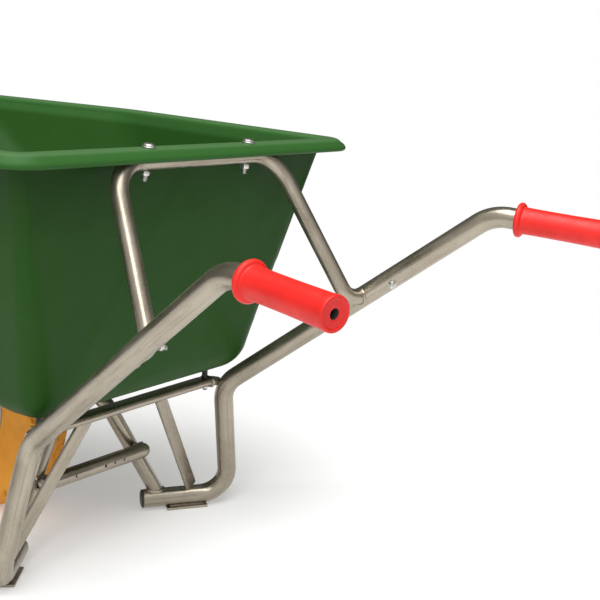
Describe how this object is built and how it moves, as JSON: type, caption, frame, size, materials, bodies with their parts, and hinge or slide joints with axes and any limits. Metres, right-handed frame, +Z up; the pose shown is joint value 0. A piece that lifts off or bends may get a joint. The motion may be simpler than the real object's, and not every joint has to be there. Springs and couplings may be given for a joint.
{
  "type": "wheelbarrow",
  "caption": "Single-wheel barrow: deep moulded tub with a rolled rim on a bent-tube frame with splayed legs, plastic handle grips and a solid tyre on a split rim.",
  "frame": {"origin": "bottom centre of the whole barrow's box, on the ground, in the mirror plane", "axes": "+X the operator's right, +Y forward from the grips to the wheel, +Z up"},
  "size_m": [0.738, 1.3696, 0.7027],
  "materials": {
    "tub_plastic": "semi-gloss moulded green polyethylene, slightly scuffed",
    "galvanised_tube": "galvanised steel tube, satin, with faint streaks and small drips at the welds",
    "zinc_bolt": "zinc-plated fastener, bright",
    "grip_plastic": "soft red plastic, satin",
    "tyre_solid": "orange foam polyurethane, matte",
    "rim_steel": "silver-grey powder coat",
    "black_plastic": "black moulded plastic"
  },
  "bodies": {
    "frame": {"tub": "tub_plastic", "right_handle_leg_tube": "galvanised_tube", "right_grip": "grip_plastic", "right_foot_plug": "black_plastic", "right_foot_plate": "galvanised_tube", "right_fork_tube": "galvanised_tube", "right_leg_brace": "galvanised_tube", "right_front_stay": "galvanised_tube", "right_axle_bracket": "galvanised_tube", "left_handle_leg_tube": "galvanised_tube", "left_grip": "grip_plastic", "left_foot_plug": "black_plastic", "left_foot_plate": "galvanised_tube", "left_fork_tube": "galvanised_tube", "left_leg_brace": "galvanised_tube", "left_front_stay": "galvanised_tube", "left_axle_bracket": "galvanised_tube", "rear_cross_bar": "galvanised_tube", "tub_support_hoop": "galvanised_tube", "stay_cross_tube": "galvanised_tube", "tub_cradle": "galvanised_tube", "front_cradle_bar": "galvanised_tube", "nose_guard": "galvanised_tube", "right_hoop_washer": "zinc_bolt", "right_hoop_bolt": "zinc_bolt", "right_hoop_nut": "zinc_bolt", "right_floor_bolt": "zinc_bolt", "right_floor_spacer": "black_plastic", "right_floor_nut": "zinc_bolt", "right_front_bolt": "zinc_bolt", "right_front_nut": "zinc_bolt", "left_hoop_washer": "zinc_bolt", "left_hoop_bolt": "zinc_bolt", "left_hoop_nut": "zinc_bolt", "left_floor_bolt": "zinc_bolt", "left_floor_spacer": "black_plastic", "left_floor_nut": "zinc_bolt", "left_front_bolt": "zinc_bolt", "left_front_nut": "zinc_bolt", "right_axle_spacer": "galvanised_tube", "right_axle_washer": "zinc_bolt", "left_axle_spacer": "galvanised_tube", "left_axle_washer": "zinc_bolt", "axle_bolt": "zinc_bolt", "axle_nut": "zinc_bolt", "right_handle_nut": "zinc_bolt", "left_handle_nut": "zinc_bolt"},
    "wheel": {"tyre": "tyre_solid", "hub_tube": "rim_steel", "right_rim_half": "rim_steel", "right_bearing": "zinc_bolt", "left_rim_half": "rim_steel", "left_bearing": "zinc_bolt", "rim_bolt_1": "zinc_bolt", "rim_nut_1": "zinc_bolt", "rim_bolt_2": "zinc_bolt", "rim_nut_2": "zinc_bolt", "rim_bolt_3": "zinc_bolt", "rim_nut_3": "zinc_bolt"}
  },
  "joints": [
    {"name": "wheel_spin", "type": "hinge", "parent": "frame", "child": "wheel", "pos_m": [0, 0.32185, 0.2], "axis": [1, 0, 0], "continuous": true}
  ]
}
